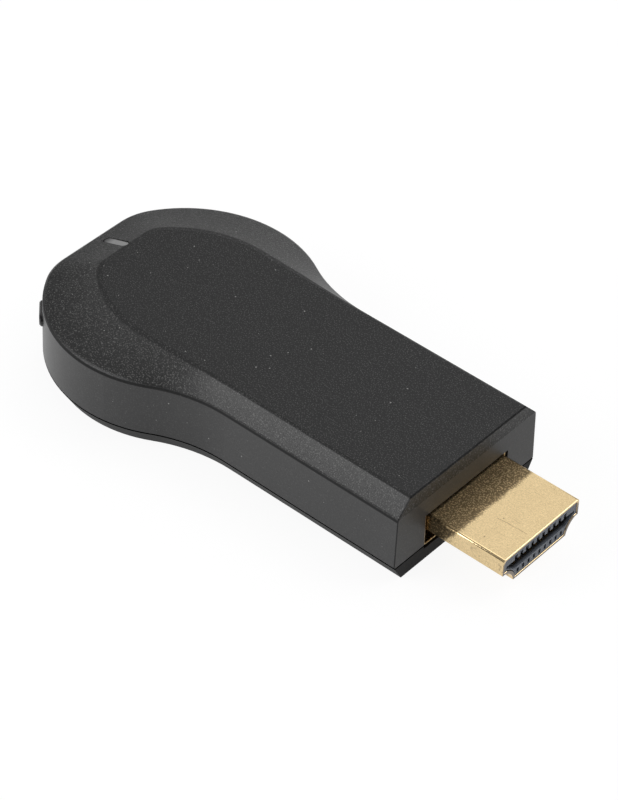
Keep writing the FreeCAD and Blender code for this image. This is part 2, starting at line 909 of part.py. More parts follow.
def make_heat_spreader():
    """Aluminium plate with a lip turned down along both sides of its pad."""
    size_x = shield_length - 2 * pad_margin
    size_y = shield_width - 2 * pad_margin
    plate = rounded_box(shield_x, 0, size_x, size_y, spreader_bottom, spreader_top, spreader_corner)
    lips = []
    for side in (-1, 1):
        lip_y = side * (size_y / 2 - spreader_lip / 2)
        lips.append(centred_box(shield_x, lip_y, size_x - 2 * spreader_corner, spreader_lip,
                                spreader_bottom - spreader_lip, spreader_bottom))
    return join([plate] + lips)


def make_inductors():
    """Three square coils with chamfered cases."""
    pitch = coil_size + chip_gap
    solids = []
    for step in (-1, 0, 1):
        block = chip(coil_x, step * pitch, coil_size, coil_size, coil_height)
        upright = [edge for edge in block.Edges if edge.BoundBox.ZLength > coil_height / 2]
        solids.append(block.makeChamfer(coil_size / 5, upright))
    return Part.makeCompound(solids)


def make_capacitors():
    pitch = 2 * capacitor_width
    solids = [chip(capacitor_x, (index - 3) * pitch, capacitor_length, capacitor_width, capacitor_height)
              for index in range(7)]
    return Part.makeCompound(solids)


def make_antenna():
    """Folded strip: feet on the board, an upright wall and a top flange with a slot."""
    x0 = processor_x - antenna_length / 2
    x1 = processor_x + antenna_length / 2
    y = head_peg_y() - peg_radius - fit_gap - antenna_flange
    top = seat + antenna_height
    web = box(x0, x1, y, y + antenna_sheet, seat, top)
    flange = box(x0, x1, y, y + antenna_flange, top - antenna_sheet, top)
    window = box(x0 + part_gap, x1 - 2 * part_gap, y, y + antenna_sheet, seat, top - 2 * part_gap)
    slot = box(x0 + 2 * part_gap, x1, y + antenna_flange / 2, y + antenna_flange / 2 + antenna_sheet,
               top - antenna_sheet, top)
    return join([web, flange]).cut([window, slot])


def lower_chip(x, size_x, size_y, tall):
    return centred_box(x, 0, size_x, size_y, under_seat - tall, under_seat)


parts = {
    "top_shell": make_top_shell(),
    "bottom_cover": make_bottom_cover(),
    "light_pipe": make_light_pipe(),
    "reset_button": make_reset_button(),
    "switch_base": make_switch_base(),
    "switch_cover": make_switch_cover(),
    "switch_dome": make_switch_dome(),
    "switch_plunger": make_switch_plunger(),
    "plug_shell": make_plug_shell(),
    "plug_collar": make_plug_collar(),
    "plug_core": make_plug_core(),
    "plug_upper_contacts": make_upper_contacts(),
    "plug_lower_contacts": make_lower_contacts(),
    "usb_shell": make_usb_shell(),
    "usb_tongue": make_usb_tongue(),
    "usb_contacts": make_usb_contacts(),
    "circuit_board": make_circuit_board(),
    "processor": make_processor(),
    "memory_chip": chip(memory_x, 0, memory_length, memory_width, memory_height),
    "flash_chip": lower_chip(flash_x, flash_length, flash_width, flash_height),
    "power_chip": chip(power_x, 0, power_size, power_size, power_height),
    "crystal": chip(power_x, power_size / 2 + part_gap + crystal_width / 2, crystal_length, crystal_width,
                    crystal_height),
    "inductors": make_inductors(),
    "capacitors": make_capacitors(),
    "indicator_led": chip(led_x, light_side_offset, led_width, led_length, led_height),
    "antenna": make_antenna(),
    "wireless_module": lower_chip(processor_x, radio_size, radio_size, radio_height),
    "lower_shield_can": make_lower_shield_can(),
    "shield_frame": make_shield_frame(),
    "shield_can": make_shield_can(),
    "processor_pad": make_processor_pad(),
    "spreader_pad": make_spreader_pad(),
    "heat_spreader": make_heat_spreader(),
}

os.makedirs("parts", exist_ok=True)
for name, shape in parts.items():
    shape.exportStep("parts/" + name + ".step")
    print(name, len(shape.Solids), shape.isValid(), round(shape.Volume, 3))
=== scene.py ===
import math

import bmesh
import bpy
from mathutils import Matrix, Vector


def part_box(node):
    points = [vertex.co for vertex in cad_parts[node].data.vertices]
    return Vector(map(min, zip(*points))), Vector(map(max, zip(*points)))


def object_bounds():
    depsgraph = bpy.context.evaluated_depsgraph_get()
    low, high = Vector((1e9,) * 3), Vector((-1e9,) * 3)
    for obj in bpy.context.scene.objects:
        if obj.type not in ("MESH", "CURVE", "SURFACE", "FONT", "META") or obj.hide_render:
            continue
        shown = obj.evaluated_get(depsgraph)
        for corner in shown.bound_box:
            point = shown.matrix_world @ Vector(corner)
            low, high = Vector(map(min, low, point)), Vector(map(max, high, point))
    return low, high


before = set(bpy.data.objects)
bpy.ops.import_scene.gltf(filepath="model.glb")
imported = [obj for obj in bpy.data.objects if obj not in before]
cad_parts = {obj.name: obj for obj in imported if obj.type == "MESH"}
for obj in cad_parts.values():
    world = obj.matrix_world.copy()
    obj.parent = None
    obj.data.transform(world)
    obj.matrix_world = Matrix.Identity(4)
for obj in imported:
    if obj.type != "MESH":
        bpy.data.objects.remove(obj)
cad_low, cad_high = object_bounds()

bl_info = {
    "name": "Streaming media stick",
    "version": (1, 0, 0),
    "blender": (4, 5, 0),
    "location": "3D View > Sidebar > Media stick",
    "description": "Finishes, worn details, lights and camera of a media stick built around its packed frame",
    "category": "Object",
}

# Places on the stick, in metres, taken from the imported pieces
shell_low, shell_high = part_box("top_shell")
plug_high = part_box("plug_shell")[1]
core_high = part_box("plug_core")[1]
pipe_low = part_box("light_pipe")[0]
END_FACE = shell_high.x

# Heights at which the finish of the case changes, and how wide the changes are
RIM = 0.0097
RIM_BAND = 0.00012
CREST_BAND = 0.00012
# SEAM_TOP and COVER_EDGE bound the seam between case and cover, which is painted black as shade
SEAM_TOP = shell_low.z + 0.00003
COVER_EDGE = 0.00209

# Painted shade line under the rim, for the rim's dark reflection: how far below the rim it starts, is full
# and ends, and how dark it is
RIM_LINE_START = 0.0005
RIM_LINE_FULL = 0.00035
RIM_LINE_END = 0.0001
RIM_LINE_SHADE = 0.62

# Painted shade: a dark line round the edge of the end face, and the shadow that the stick casts on its own
# cover, painted over the whole cover
EDGE_LINE = 0.0002
EDGE_LINE_SHADE = 0.6
COVER_SHADE = 0.62

# How near a point on a face lies to the plane of that face
ON_FACE = 0.00001

# Colour of the dark lines, where no light reaches
LINE_BLACK = (0.002, 0.002, 0.002, 1.0)

# Marks in the plug's plating: sizes of the blobs, and the one long scratch
MOTTLE = 0.00024
FRECKLE = 0.00018
TARNISH = 0.0022
STAIN = 0.0009
SCRATCH_START = (0.03104, -0.00196)
SCRATCH_END = (0.03518, -0.00168)
SCRATCH_WIDTH = 0.00009

# Dull band by the case: how soft its edge is, how fast it draws back down the plug's sides, and the
# length over which it pales towards the case
BAND_EDGE = 0.0007
BAND_SLANT = 0.8
BAND_LIFT = 0.003

# Depths below the plug's top of the stains on its sides, and of the painted shade that darkens the lower part
# of its cut edge
SIDE_STAINS = (0.0003, 0.0016)
CUT_SHADE = (0.00025, 0.0008)
CUT_DEPTH = 0.00004

# Depths behind the insert's front face over which its slots are painted dark as shade
SLOT_SHADE_DEPTHS = (0.00008, 0.0005)

# Gap under the stick, and the distance within which the corners of a packed sheet are one
FLOOR_GAP = 0.00002
SAME_CORNER = 0.000002


# Node graphs

class Socket:
    """One output of a node, so that shader maths on values reads as Python."""

    def __init__(self, graph, node, output):
        self.graph = graph
        self.node = node
        self.output = output

    def beside(self, name):
        """Another output of the same node."""
        return Socket(self.graph, self.node, self.node.outputs[name])

    def maths(self, operation, first, second):
        return self.graph.maths(operation, first, second)

    def __add__(self, other):
        return self.maths("ADD", self, other)

    def __radd__(self, other):
        return self.maths("ADD", other, self)

    def __sub__(self, other):
        return self.maths("SUBTRACT", self, other)

    def __rsub__(self, other):
        return self.maths("SUBTRACT", other, self)

    def __mul__(self, other):
        return self.maths("MULTIPLY", self, other)

    def __rmul__(self, other):
        return self.maths("MULTIPLY", other, self)

    def __gt__(self, other):
        return self.maths("GREATER_THAN", self, other)

    def __lt__(self, other):
        return self.maths("LESS_THAN", self, other)

    def __or__(self, other):
        """The larger of two masks."""
        return self.maths("MAXIMUM", self, other)

    def __ror__(self, other):
        return self.maths("MAXIMUM", other, self)


class Graph:
    """A node tree that is built from values, sockets and a few named helpers."""

    def __init__(self, tree):
        self.tree = tree
        tree.nodes.clear()

    def add(self, kind, settings=None, inputs=None, output=0):
        """Adds a node: its settings are set first, then the values or links of its sockets."""
        node = self.tree.nodes.new(kind)
        for name, value in (settings or {}).items():
            setattr(node, name, value)
        for name, value in (inputs or {}).items():
            if isinstance(value, Socket):
                self.tree.links.new(value.output, node.inputs[name])
            else:
                node.inputs[name].default_value = value
        return Socket(self, node, node.outputs[output] if node.outputs else None)

    def place(self):
        """Place on the piece, in metres from the stick's origin."""
        return self.add("ShaderNodeTexCoord", output="Object")

    def axis(self, vector, name):
        return self.add("ShaderNodeSeparateXYZ", inputs={0: vector}, output=name)

    def noise(self, place, size, detail=2.0, roughness=0.5):
        """Cloudy noise from 0 to 1 whose blobs are about the given size."""
        inputs = {"Vector": place, "Scale": 1 / size, "Detail": detail, "Roughness": roughness}
        return self.add("ShaderNodeTexNoise", {"noise_dimensions": "3D"}, inputs, "Fac")

    def fade(self, value, start, end):
        """Smooth step from 0 at start to 1 at end."""
        inputs = {"Value": value, "From Min": start, "From Max": end, "To Min": 0.0, "To Max": 1.0}
        return self.add("ShaderNodeMapRange", {"interpolation_type": "SMOOTHSTEP"}, inputs, "Result")

    def stretched(self, place, angle, sizes):
        """Coordinates turned about Z and stretched, so that noise in them runs along one line."""
        scale = tuple(1 / size for size in sizes)
        inputs = {"Vector": place, "Rotation": (0.0, 0.0, angle), "Scale": scale}
        return self.add("ShaderNodeMapping", {"vector_type": "POINT"}, inputs)

    def cells(self, place, scale):
        inputs = {"Vector": place, "Scale": scale, "Randomness": 1.0}
        return self.add("ShaderNodeTexVoronoi", {"feature": "F1"}, inputs, "Distance")

    def chosen(self, distance, radius, share):
        """Mask of the given radius round the share of the cells picked at random."""
        pick = self.axis(distance.beside("Color"), "X")
        return (distance < pick * radius) * (pick > 1 - share)

    def specks(self, place, spacing, radius, share):
        """Round specks scattered at random."""
        return self.chosen(self.cells(place, 1 / spacing), radius / spacing, share)

    def scratches(self, place, angle, length, width, share):
        """Thin marks along one direction, scattered at random."""
        lines = self.stretched(place, angle, (length, width, width))
        return self.chosen(self.cells(lines, 1.0), 0.4, share)

    def stroke(self, place, start, end, width):
        """One thin straight scratch between two points, seen from above."""
        along = Vector(end) - Vector(start)
        turn = math.atan2(along.y, along.x)
        inputs = {"Vector": place, "Location": (*start, 0.0), "Rotation": (0.0, 0.0, turn)}
        local = self.add("ShaderNodeMapping", {"vector_type": "TEXTURE"}, inputs)
        x = self.axis(local, "X")
        wander = (self.noise(place, 0.0008, 1.0) - 0.5) * width * 3
        across = self.maths("ABSOLUTE", self.axis(local, "Y") + wander)
        return (x > 0.0) * (x < along.length) * (across < width / 2)

    def maths(self, operation, first, second=0.0):
        return self.add("ShaderNodeMath", {"operation": operation}, {0: first, 1: second})

    def mix(self, first, second, factor):
        """Blend of two colours."""
        inputs = {0: factor, 6: self.colour(first), 7: self.colour(second)}
        return self.add("ShaderNodeMix", {"data_type": "RGBA"}, inputs, 2)

    def colour(self, value):
        return value if isinstance(value, Socket) else (*value[:3], 1.0)

    def shade(self, colour, value):
        """Colour made lighter or darker by a value."""
        vector = colour if isinstance(colour, Socket) else tuple(colour[:3])
        return self.add("ShaderNodeVectorMath", {"operation": "SCALE"}, {"Vector": vector, "Scale": value})

    def bump(self, height, depth, strength=1.0):
        inputs = {"Height": height, "Distance": depth, "Strength": strength}
        return self.add("ShaderNodeBump", None, inputs, "Normal")


def finish(name, build):
    """Material whose Principled shader takes the sockets and constants that build returns.

    A mask that build calls Shadow lines turns the surface black where it is 1.
    """
    material = bpy.data.materials.new(name)
    material.use_nodes = True
    graph = Graph(material.node_tree)
    inputs = build(graph)
    lines = inputs.pop("Shadow lines", None)
    surface = graph.add("ShaderNodeBsdfPrincipled", None, inputs, "BSDF")
    if lines:
        black = graph.add("ShaderNodeBsdfDiffuse", None, {"Color": LINE_BLACK}, "BSDF")
        surface = graph.add("ShaderNodeMixShader", None, {0: lines, 1: surface, 2: black}, "Shader")
    graph.add("ShaderNodeOutputMaterial", None, {"Surface": surface})
    return material


def dress(material, *names):
    """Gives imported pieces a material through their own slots."""
    for name in names:
        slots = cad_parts[name].material_slots
        if not slots:
            raise RuntimeError("the packed piece " + name + " has no material slot")
        for slot in slots:
            slot.material = material


def soften(width, segments, *names):
    """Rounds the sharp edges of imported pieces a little."""
    for name in names:
        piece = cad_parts[name]
        weld = piece.modifiers.new("joined", "WELD")
        weld.merge_threshold = SAME_CORNER
        bevel = piece.modifiers.new("soft_edges", "BEVEL")
        bevel.width = width
        bevel.segments = segments
        bevel.limit_method = "ANGLE"
        bevel.angle_limit = math.radians(40)


# Finishes

def upper_zones(graph, settings, place):
    """Colour, roughness, share of grain and painted shade lines of the upper case, by its height; its colours
    carry painted shading.
    """
    height = graph.axis(place, "Z")
    along = graph.axis(place, "X")
    on_end = along > END_FACE - ON_FACE
    end_shade_line = (along > END_FACE - EDGE_LINE) * (along < END_FACE - ON_FACE)
    below_flat = height < shell_high.z - 2 * ON_FACE
    rim_shade_line = (graph.fade(height, RIM - RIM_LINE_START, RIM - RIM_LINE_FULL)
                 * graph.fade(height, RIM, RIM - RIM_LINE_END))
    seam_shade = height < SEAM_TOP
    # Painted shade: black in the seam, a dark line under the rim and a dark line by the end face
    lines = seam_shade | rim_shade_line * (1 - on_end) * RIM_LINE_SHADE | end_shade_line * below_flat * EDGE_LINE_SHADE
    above = graph.fade(height, RIM - RIM_BAND, RIM + RIM_BAND)
    flat = graph.fade(height, shell_high.z - 2 * CREST_BAND, shell_high.z - CREST_BAND)
    # Painted shading: the facets are painted darker at the rim and lighter towards the crest, for how light
    # falls across them
    facet_painted_shading = graph.shade(settings.facet_shaded_colour, 0.5 + graph.fade(height, RIM, shell_high.z))
    # Painted shade and light: the flat gets a darker copy of the plastic, the walls and cover a lighter one
    colour = graph.mix(graph.mix(settings.wall_lit_colour, facet_painted_shading, above), settings.flat_shaded_colour, flat)
    rough = (settings.wall_roughness + above * (settings.facet_roughness - settings.wall_roughness)
             + flat * (settings.flat_roughness - settings.facet_roughness))
    bite = settings.wall_grain + above * (1 - settings.wall_grain) - flat * 0.35
    return colour, rough, bite, lines


def cover_zones(graph, settings, place):
    """Colour, roughness, share of grain and painted shade of the bottom cover: black in the seam, a painted
    shadow over the rest.
    """
    seam_shade = graph.axis(place, "Z") > COVER_EDGE
    return settings.wall_lit_colour, settings.wall_roughness, settings.wall_grain, seam_shade | COVER_SHADE


def case_plastic(settings, zones):
    """Fine-textured charcoal moulding with dust, light scratches and glints painted in as pale specks."""
    def build(graph):
        place = graph.place()
        colour, rough, bite, lines = zones(graph, settings, place)
        on_end = graph.axis(place, "X") > END_FACE - ON_FACE
        grain = graph.noise(place, settings.grain_size, 2.0, 0.6)
        coarse = graph.noise(place, settings.grain_size * 2.2, 1.0)
        cloud = graph.noise(place, settings.cloud_size, 3.0)
        tone = 1 + (grain - 0.5) * bite * 2.4 + (coarse - 0.5) * bite * 1.2 + (cloud - 0.5) * 0.4
        # Painted glints: pale specks in the colour, for light caught by the grain
        painted_glints = graph.fade(graph.noise(place, settings.grain_size * 0.8, 0.0), 0.6, 0.7) * bite
        dust = graph.specks(place, settings.dust_spacing, settings.dust_size, 0.55)
        fine = graph.specks(place, settings.dust_spacing * 0.4, settings.dust_size * 0.5, 0.6)
        marks = graph.scratches(place, 0.9, 0.0028, 0.00009, 0.002)
        wear_and_painted_glints = dust * 0.9 | fine * 0.45 | marks * 0.15 | painted_glints * settings.painted_glints
        return {
            "Shadow lines": lines,
            "Base Color": graph.mix(graph.shade(colour, tone), settings.dust_colour, wear_and_painted_glints),
            "Roughness": rough + (grain - 0.5) * 0.15 + wear_and_painted_glints * 0.2 + on_end * 0.15,
            "Normal": graph.bump((grain + coarse * 0.7) * bite, settings.grain_depth),
            "Specular IOR Level": settings.gloss_level,
        }
    return build


def gloss_black(settings):
    """Polished black moulding with a few rubbed marks."""
    def build(graph):
        place = graph.place()
        smear = graph.noise(place, 0.0015, 3.0)
        rubs = graph.scratches(place, 1.1, 0.0016, 0.00012, 0.3)
        colour = graph.shade(settings.button_colour, 0.7 + smear * 0.6)
        return {
            "Base Color": graph.mix(colour, settings.dust_colour, rubs * 0.12),
            "Roughness": 0.16 + smear * 0.14 + rubs * 0.2,
            "Normal": graph.bump(smear, 0.00002, 0.4),
        }
    return build


def light_plastic(settings):
    """Smoky light pipe: pale over most of its length, fading towards the end of the case."""
    def build(graph):
        place = graph.place()
        along = graph.fade(graph.axis(place, "X"), pipe_low.x, pipe_low.x + settings.pipe_fade)
        cloud = graph.noise(place, 0.0006, 2.0)
        haze = graph.mix(settings.pipe_dark, settings.pipe_pale, along)
        return {
            "Base Color": graph.shade(haze, 0.85 + cloud * 0.3),
            "Roughness": 0.3 + cloud * 0.15,
            "Normal": graph.bump(cloud, 0.00002, 0.3),
        }
    return build


def plating_wear(graph, place, height):
    """Mask of specks, rubbed marks, one long scratch, and stains that are thickest on the plug's sides."""
    stain = graph.fade(graph.noise(place, STAIN, 4.0, 0.65), 0.58, 0.7)
    side = graph.fade(height, plug_high.z - SIDE_STAINS[0], plug_high.z - SIDE_STAINS[1])
    specks = graph.specks(place, 0.0011, 0.00012, 0.4)
    rub = graph.scratches(place, 0.7, 0.0018, 0.00008, 0.02)
    scratch = graph.stroke(place, SCRATCH_START, SCRATCH_END, SCRATCH_WIDTH)
    return stain * (0.1 + side * 0.55) | specks * 0.6 | rub * 0.25 | scratch * 0.5


def worn_gold(settings):
    """Pale gold plating: fine mottle, a dull grained band by the case, wear, and a bare cut edge painted
    darker lower down as shade.
    """
    def build(graph):
        place = graph.place()
        along = graph.axis(place, "X")
        height = graph.axis(place, "Z")
        mottle = graph.noise(place, MOTTLE, 3.0, 0.6)
        cloud = graph.noise(place, TARNISH, 3.0)
        freckle = graph.noise(place, FRECKLE, 1.0)
        ragged = (cloud - 0.5) * 0.0005 + (mottle - 0.5) * 0.0006 + (plug_high.z - height) * BAND_SLANT
        root = graph.fade(along + ragged, settings.root_reach, settings.root_reach - BAND_EDGE)
        glint = graph.fade(freckle, 0.5, 0.66)
        lift = graph.fade(along, END_FACE + BAND_LIFT, END_FACE)
        dull = plating_wear(graph, place, height)
        # Painted shade: the bare cut edge is painted darker further below the plug's top
        low = graph.fade(height, plug_high.z - CUT_SHADE[0], plug_high.z - CUT_SHADE[1])
        cut = (along > plug_high.x - CUT_DEPTH) * (0.1 + low * 0.8)
        tone = (1 + (mottle - 0.5) * 0.2 + (freckle - 0.5) * 0.5 + (glint - 0.3) * root * 1.1
                + (cloud - 0.5) * 0.12)
        plate = graph.mix(settings.gold_colour, graph.shade(settings.root_colour, 0.9 + lift * 0.7), root)
        worn = graph.mix(graph.shade(plate, tone), settings.stain_colour, dull)
        return {
            "Base Color": graph.mix(worn, settings.cut_colour, cut),
            "Metallic": 1 - dull * 0.4,
            "Roughness": settings.gold_roughness + (mottle - 0.4) * 0.1 + dull * 0.25 + root * 0.16,
            "Normal": graph.bump(mottle + root * mottle * 4, 0.000008, 0.5),
        }
    return build


def moulded(colour, roughness, size=0.0004):
    """Plain moulding with a fine grain and slight colour variation."""
    def build(graph):
        place = graph.place()
        grain = graph.noise(place, size, 2.0)
        cloud = graph.noise(place, size * 9, 3.0)
        return {
            "Base Color": graph.shade(colour, 0.82 + grain * 0.16 + cloud * 0.2),
            "Roughness": roughness + (grain - 0.5) * 0.15 + (cloud - 0.5) * 0.1,
            "Normal": graph.bump(grain, 0.00002, 0.5),
        }
    return build


def metal(colour, roughness):
    """Plain metal with drawn lines along X and a thin tarnish."""
    def build(graph):
        place = graph.place()
        lines = graph.noise(graph.stretched(place, 0.0, (0.004, 0.00005, 0.0002)), 1.0, 2.0)
        cloud = graph.noise(place, 0.0018, 3.0)
        tarnish = graph.fade(cloud, 0.55, 0.8)
        return {
            "Base Color": graph.shade(colour, 0.85 + lines * 0.2 - tarnish * 0.2),
            "Metallic": 1.0,
            "Roughness": roughness + lines * 0.14 + tarnish * 0.15,
            "Normal": graph.bump(lines, 0.000006, 0.5),
        }
    return build


def insert_plastic(settings):
    """Blue-grey moulding, painted dark as shade in the depth of its slots, windows and cavity."""
    def build(graph):
        place = graph.place()
        # Painted shade: the insert turns dark with depth behind its front face
        depth = graph.fade(graph.axis(place, "X"), core_high.x - SLOT_SHADE_DEPTHS[0], core_high.x - SLOT_SHADE_DEPTHS[1])
        grain = graph.noise(place, 0.0003, 2.0)
        cloud = graph.noise(place, 0.0025, 2.0)
        face = graph.shade(settings.insert_colour, 0.8 + grain * 0.2 + cloud * 0.2)
        return {
            "Base Color": graph.mix(face, settings.slot_shade_colour, depth),
            "Roughness": 0.42 + grain * 0.15,
            "Normal": graph.bump(grain, 0.00002, 0.5),
        }
    return build


def board_lacquer(settings):
    """Dark lacquer over copper tracks, with tinned dots."""
    def build(graph):
        place = graph.place()
        inputs = {"Vector": place, "Scale": 900.0, "Randomness": 0.9}
        kind = {"distance": "MANHATTAN", "feature": "F1"}
        near = graph.add("ShaderNodeTexVoronoi", kind, inputs, "Distance")
        tracks = graph.fade(near, 0.5, 0.56) * (1 - graph.fade(near, 0.62, 0.68))
        dots = graph.specks(place, 0.0014, 0.00035, 0.3)
        weave = graph.noise(place, 0.0005, 2.0)
        lacquer = graph.mix(settings.board_colour, settings.track_colour, tracks)
        return {
            "Base Color": graph.mix(graph.shade(lacquer, 0.85 + weave * 0.3), settings.tin_colour, dots),
            "Metallic": dots * 0.9,
            "Roughness": 0.38 + weave * 0.1,
            "Normal": graph.bump(tracks + dots, 0.00003, 0.8),
        }
    return build


def chip_case(settings):
    """Moulded chip with a sandblasted face."""
    return moulded(settings.chip_colour, 0.6, 0.00022)


# Studio

def softbox(name, turn, height, distance, width, level):
    """Square soft light that faces the stick, with its turn from +X and its height in degrees.

    It shows as the given radiance.
    """
    lamp = bpy.data.lights.new(name, "AREA")
    lamp.shape = "SQUARE"
    lamp.size = width
    lamp.energy = math.pi * width ** 2 * level
    holder = bpy.data.objects.new(name, lamp)
    bpy.context.scene.collection.objects.link(holder)
    azimuth = math.radians(turn)
    elevation = math.radians(height)
    direction = Vector((math.cos(azimuth) * math.cos(elevation),
                        math.sin(azimuth) * math.cos(elevation), math.sin(elevation)))
    holder.location = direction * distance
    holder.rotation_euler = direction.to_track_quat("Z", "Y").to_euler()


def round_floor(radius):
    """Wide flat disc just under the stick."""
    mesh = bpy.data.meshes.new("floor")
    disc = bmesh.new()
    bmesh.ops.create_circle(disc, cap_ends=True, segments=96, radius=radius)
    disc.to_mesh(mesh)
    disc.free()
    floor = bpy.data.objects.new("floor", mesh)
    floor.location.z = cad_low.z - FLOOR_GAP
    bpy.context.scene.collection.objects.link(floor)
    return floor


def paint_floor(floor, studio):
    """White floor: it shows as white, and keeps a share of its own shading for the shadow."""
    material = bpy.data.materials.new("floor_white")
    material.use_nodes = True
    graph = Graph(material.node_tree)
    grain = graph.noise(graph.place(), 0.02, 2.0)
    paint = graph.shade(studio.floor_colour, 0.98 + grain * 0.04)
    matt = graph.add("ShaderNodeBsdfDiffuse", None, {"Color": paint}, "BSDF")
    white = {"Color": (1.0, 1.0, 1.0, 1.0), "Strength": studio.floor_glow}
    glow = graph.add("ShaderNodeEmission", None, white, "Emission")
    ray = graph.add("ShaderNodeLightPath", output="Is Camera Ray")
    seen = (ray | ray.beside("Is Transmission Ray")) * (1 - studio.shadow_share)
    mirrored = ray.beside("Is Glossy Ray") * (1 - studio.mirrored_share)
    parts = {0: seen | mirrored, 1: matt, 2: glow}
    surface = graph.add("ShaderNodeMixShader", None, parts, "Shader")
    graph.add("ShaderNodeOutputMaterial", None, {"Surface": surface})
    floor.data.materials.append(material)


def paint_world(studio):
    """Plain studio surroundings: dim at the horizon, paler overhead."""
    world = bpy.data.worlds.new("studio")
    world.use_nodes = True
    bpy.context.scene.world = world
    graph = Graph(world.node_tree)
    up = graph.axis(graph.add("ShaderNodeTexCoord", output="Generated"), "Z")
    colour = graph.mix(studio.sky_low, studio.sky_high, graph.fade(up, 0.1, 0.7))
    sky = graph.add("ShaderNodeBackground", None, {"Color": colour, "Strength": 1.0}, "Background")
    graph.add("ShaderNodeOutputWorld", None, {"Surface": sky})


def place_camera(view):
    """Camera on a line from the aim, at the photograph's angle."""
    back = Vector((math.sin(view.azimuth) * math.cos(view.elevation),
                   -math.cos(view.azimuth) * math.cos(view.elevation), math.sin(view.elevation)))
    right = Vector((math.cos(view.azimuth), math.sin(view.azimuth), 0.0))
    up = back.cross(right)
    across = right * math.cos(view.roll) + up * math.sin(view.roll)
    upward = up * math.cos(view.roll) - right * math.sin(view.roll)
    aim = Vector((view.aim_x, view.aim_y, 0.0))
    lens = bpy.data.cameras.new("photo_view")
    lens.lens = view.lens
    lens.sensor_width = 36.0
    lens.clip_start = 0.01
    camera = bpy.data.objects.new("photo_view", lens)
    turn = Matrix((across, upward, back)).transposed().to_4x4()
    camera.matrix_world = Matrix.Translation(aim + back * view.distance) @ turn
    bpy.context.scene.collection.objects.link(camera)
    bpy.context.scene.camera = camera


# Settings

def colour_property(name, description, default):
    return bpy.props.FloatVectorProperty(name=name, description=description, subtype="COLOR",
                                         default=default, min=0.0, max=1.0)


def length_property(name, description, default):
    return bpy.props.FloatProperty(name=name, description=description, unit="LENGTH",
                                   default=default, min=0.0, precision=5)


def place_property(name, description, default):
    return bpy.props.FloatProperty(name=name, description=description, unit="LENGTH",
                                   default=default, precision=5)


def angle_property(name, description, default):
    return bpy.props.FloatProperty(name=name, description=description, subtype="ANGLE",
                                   default=math.radians(default))


def share_property(name, description, default, highest=1.0):
    return bpy.props.FloatProperty(name=name, description=description, default=default,
                                   min=0.0, max=highest)


class StudioSettings(bpy.types.PropertyGroup):
    floor_radius: length_property("Floor radius", "How far the pale floor reaches", 1.5)
    floor_colour: colour_property("Floor", "Colour of the floor", (0.86, 0.86, 0.86))
    shadow_share: share_property("Shadow", "How much of the stick's shadow the white floor keeps", 0.12)
    mirrored_share: share_property("Mirrored shadow", "How much of it the reflections keep", 0.35)
    floor_glow: share_property("Floor glow", "Strength at which the floor shows as white", 1.04, 2.0)
    sky_low: colour_property("Horizon", "Colour of the surroundings at the horizon", (0.1, 0.1, 0.103))
    sky_high: colour_property("Overhead", "Colour of the surroundings overhead", (0.32, 0.32, 0.325))
    key_level: share_property("Key light", "Radiance of the light at the front left", 4.1, 10.0)
    back_level: share_property("Back light", "Radiance of the wide light behind", 0.62, 10.0)
    low_level: share_property("Low light", "Radiance of the light behind, just above the floor", 0.95, 10.0)
    top_level: share_property("Top light", "Radiance of the light overhead", 1.1, 10.0)
    side_level: share_property("Side light", "Radiance of the light beyond the plug", 2.4, 10.0)


class ViewSettings(bpy.types.PropertyGroup):
    azimuth: angle_property("Turn", "Turn of the camera from the front towards the plug", 40.63)
    elevation: angle_property("Height", "Angle of the camera above the floor", 41.98)
    roll: angle_property("Roll", "Roll of the camera about its line of sight", 1.42)
    distance: length_property("Distance", "Distance of the camera from its aim", 0.35556)
    aim_x: place_property("Aim along the stick", "Where the line of sight meets the floor, along X", -0.00295)
    aim_y: place_property("Aim across the stick", "Where that line meets the floor, along Y", 0.004136)
    lens: bpy.props.FloatProperty(name="Lens", description="Focal length on a 36 mm sensor",
                                  subtype="DISTANCE_CAMERA", default=130.67, min=1.0)


class CaseSettings(bpy.types.PropertyGroup):
    # The flat, facets and walls are one black plastic: their three colours are painted shade and light,
    # darkest on the flat and lightest on the walls, while their roughness differs for real
    flat_shaded_colour: colour_property("Flat", "Plastic of the raised flat", (0.004, 0.004, 0.0041))
    facet_shaded_colour: colour_property("Facets", "Plastic of the slanted facets", (0.0155, 0.0155, 0.0153))
    wall_lit_colour: colour_property("Walls", "Plastic of the side walls and the cover", (0.032, 0.032, 0.0323))
    flat_roughness: share_property("Flat roughness", "Roughness of the grained top", 0.58)
    facet_roughness: share_property("Facet roughness", "Roughness of the slanted facets", 0.42)
    wall_roughness: share_property("Wall roughness", "Roughness of the smoother walls", 0.35)
    wall_grain: share_property("Wall grain", "Share of the grain that shows on the walls", 0.25)
    gloss_level: share_property("Gloss", "Strength of the plastic's reflection", 0.45)
    grain_size: length_property("Grain", "Size of the moulded grain", 0.00019)
    grain_depth: length_property("Grain depth", "Depth of the moulded grain", 0.000035)
    # Strength of the glints painted into the colour as pale specks
    painted_glints: share_property("Sparkle", "Strength of the pale grains in the moulding", 0.26)
    cloud_size: length_property("Clouding", "Size of the faint clouding", 0.008)
    dust_spacing: length_property("Dust spacing", "Distance between dust specks", 0.0013)
    dust_size: length_property("Dust size", "Radius of the largest dust specks", 0.0001)
    dust_colour: colour_property("Dust", "Colour of dust and light scratches", (0.3, 0.3, 0.29))
    button_colour: colour_property("Button", "Gloss plastic of the reset button", (0.006, 0.006, 0.006))
    pipe_dark: colour_property("Light pipe, outer end", "Light pipe where no light shows", (0.05, 0.05, 0.05))
    pipe_pale: colour_property("Light pipe, inner end", "Light pipe over the light", (0.25, 0.25, 0.248))
    pipe_fade: length_property("Light pipe fade", "Length over which the light pipe gets paler", 0.0016)


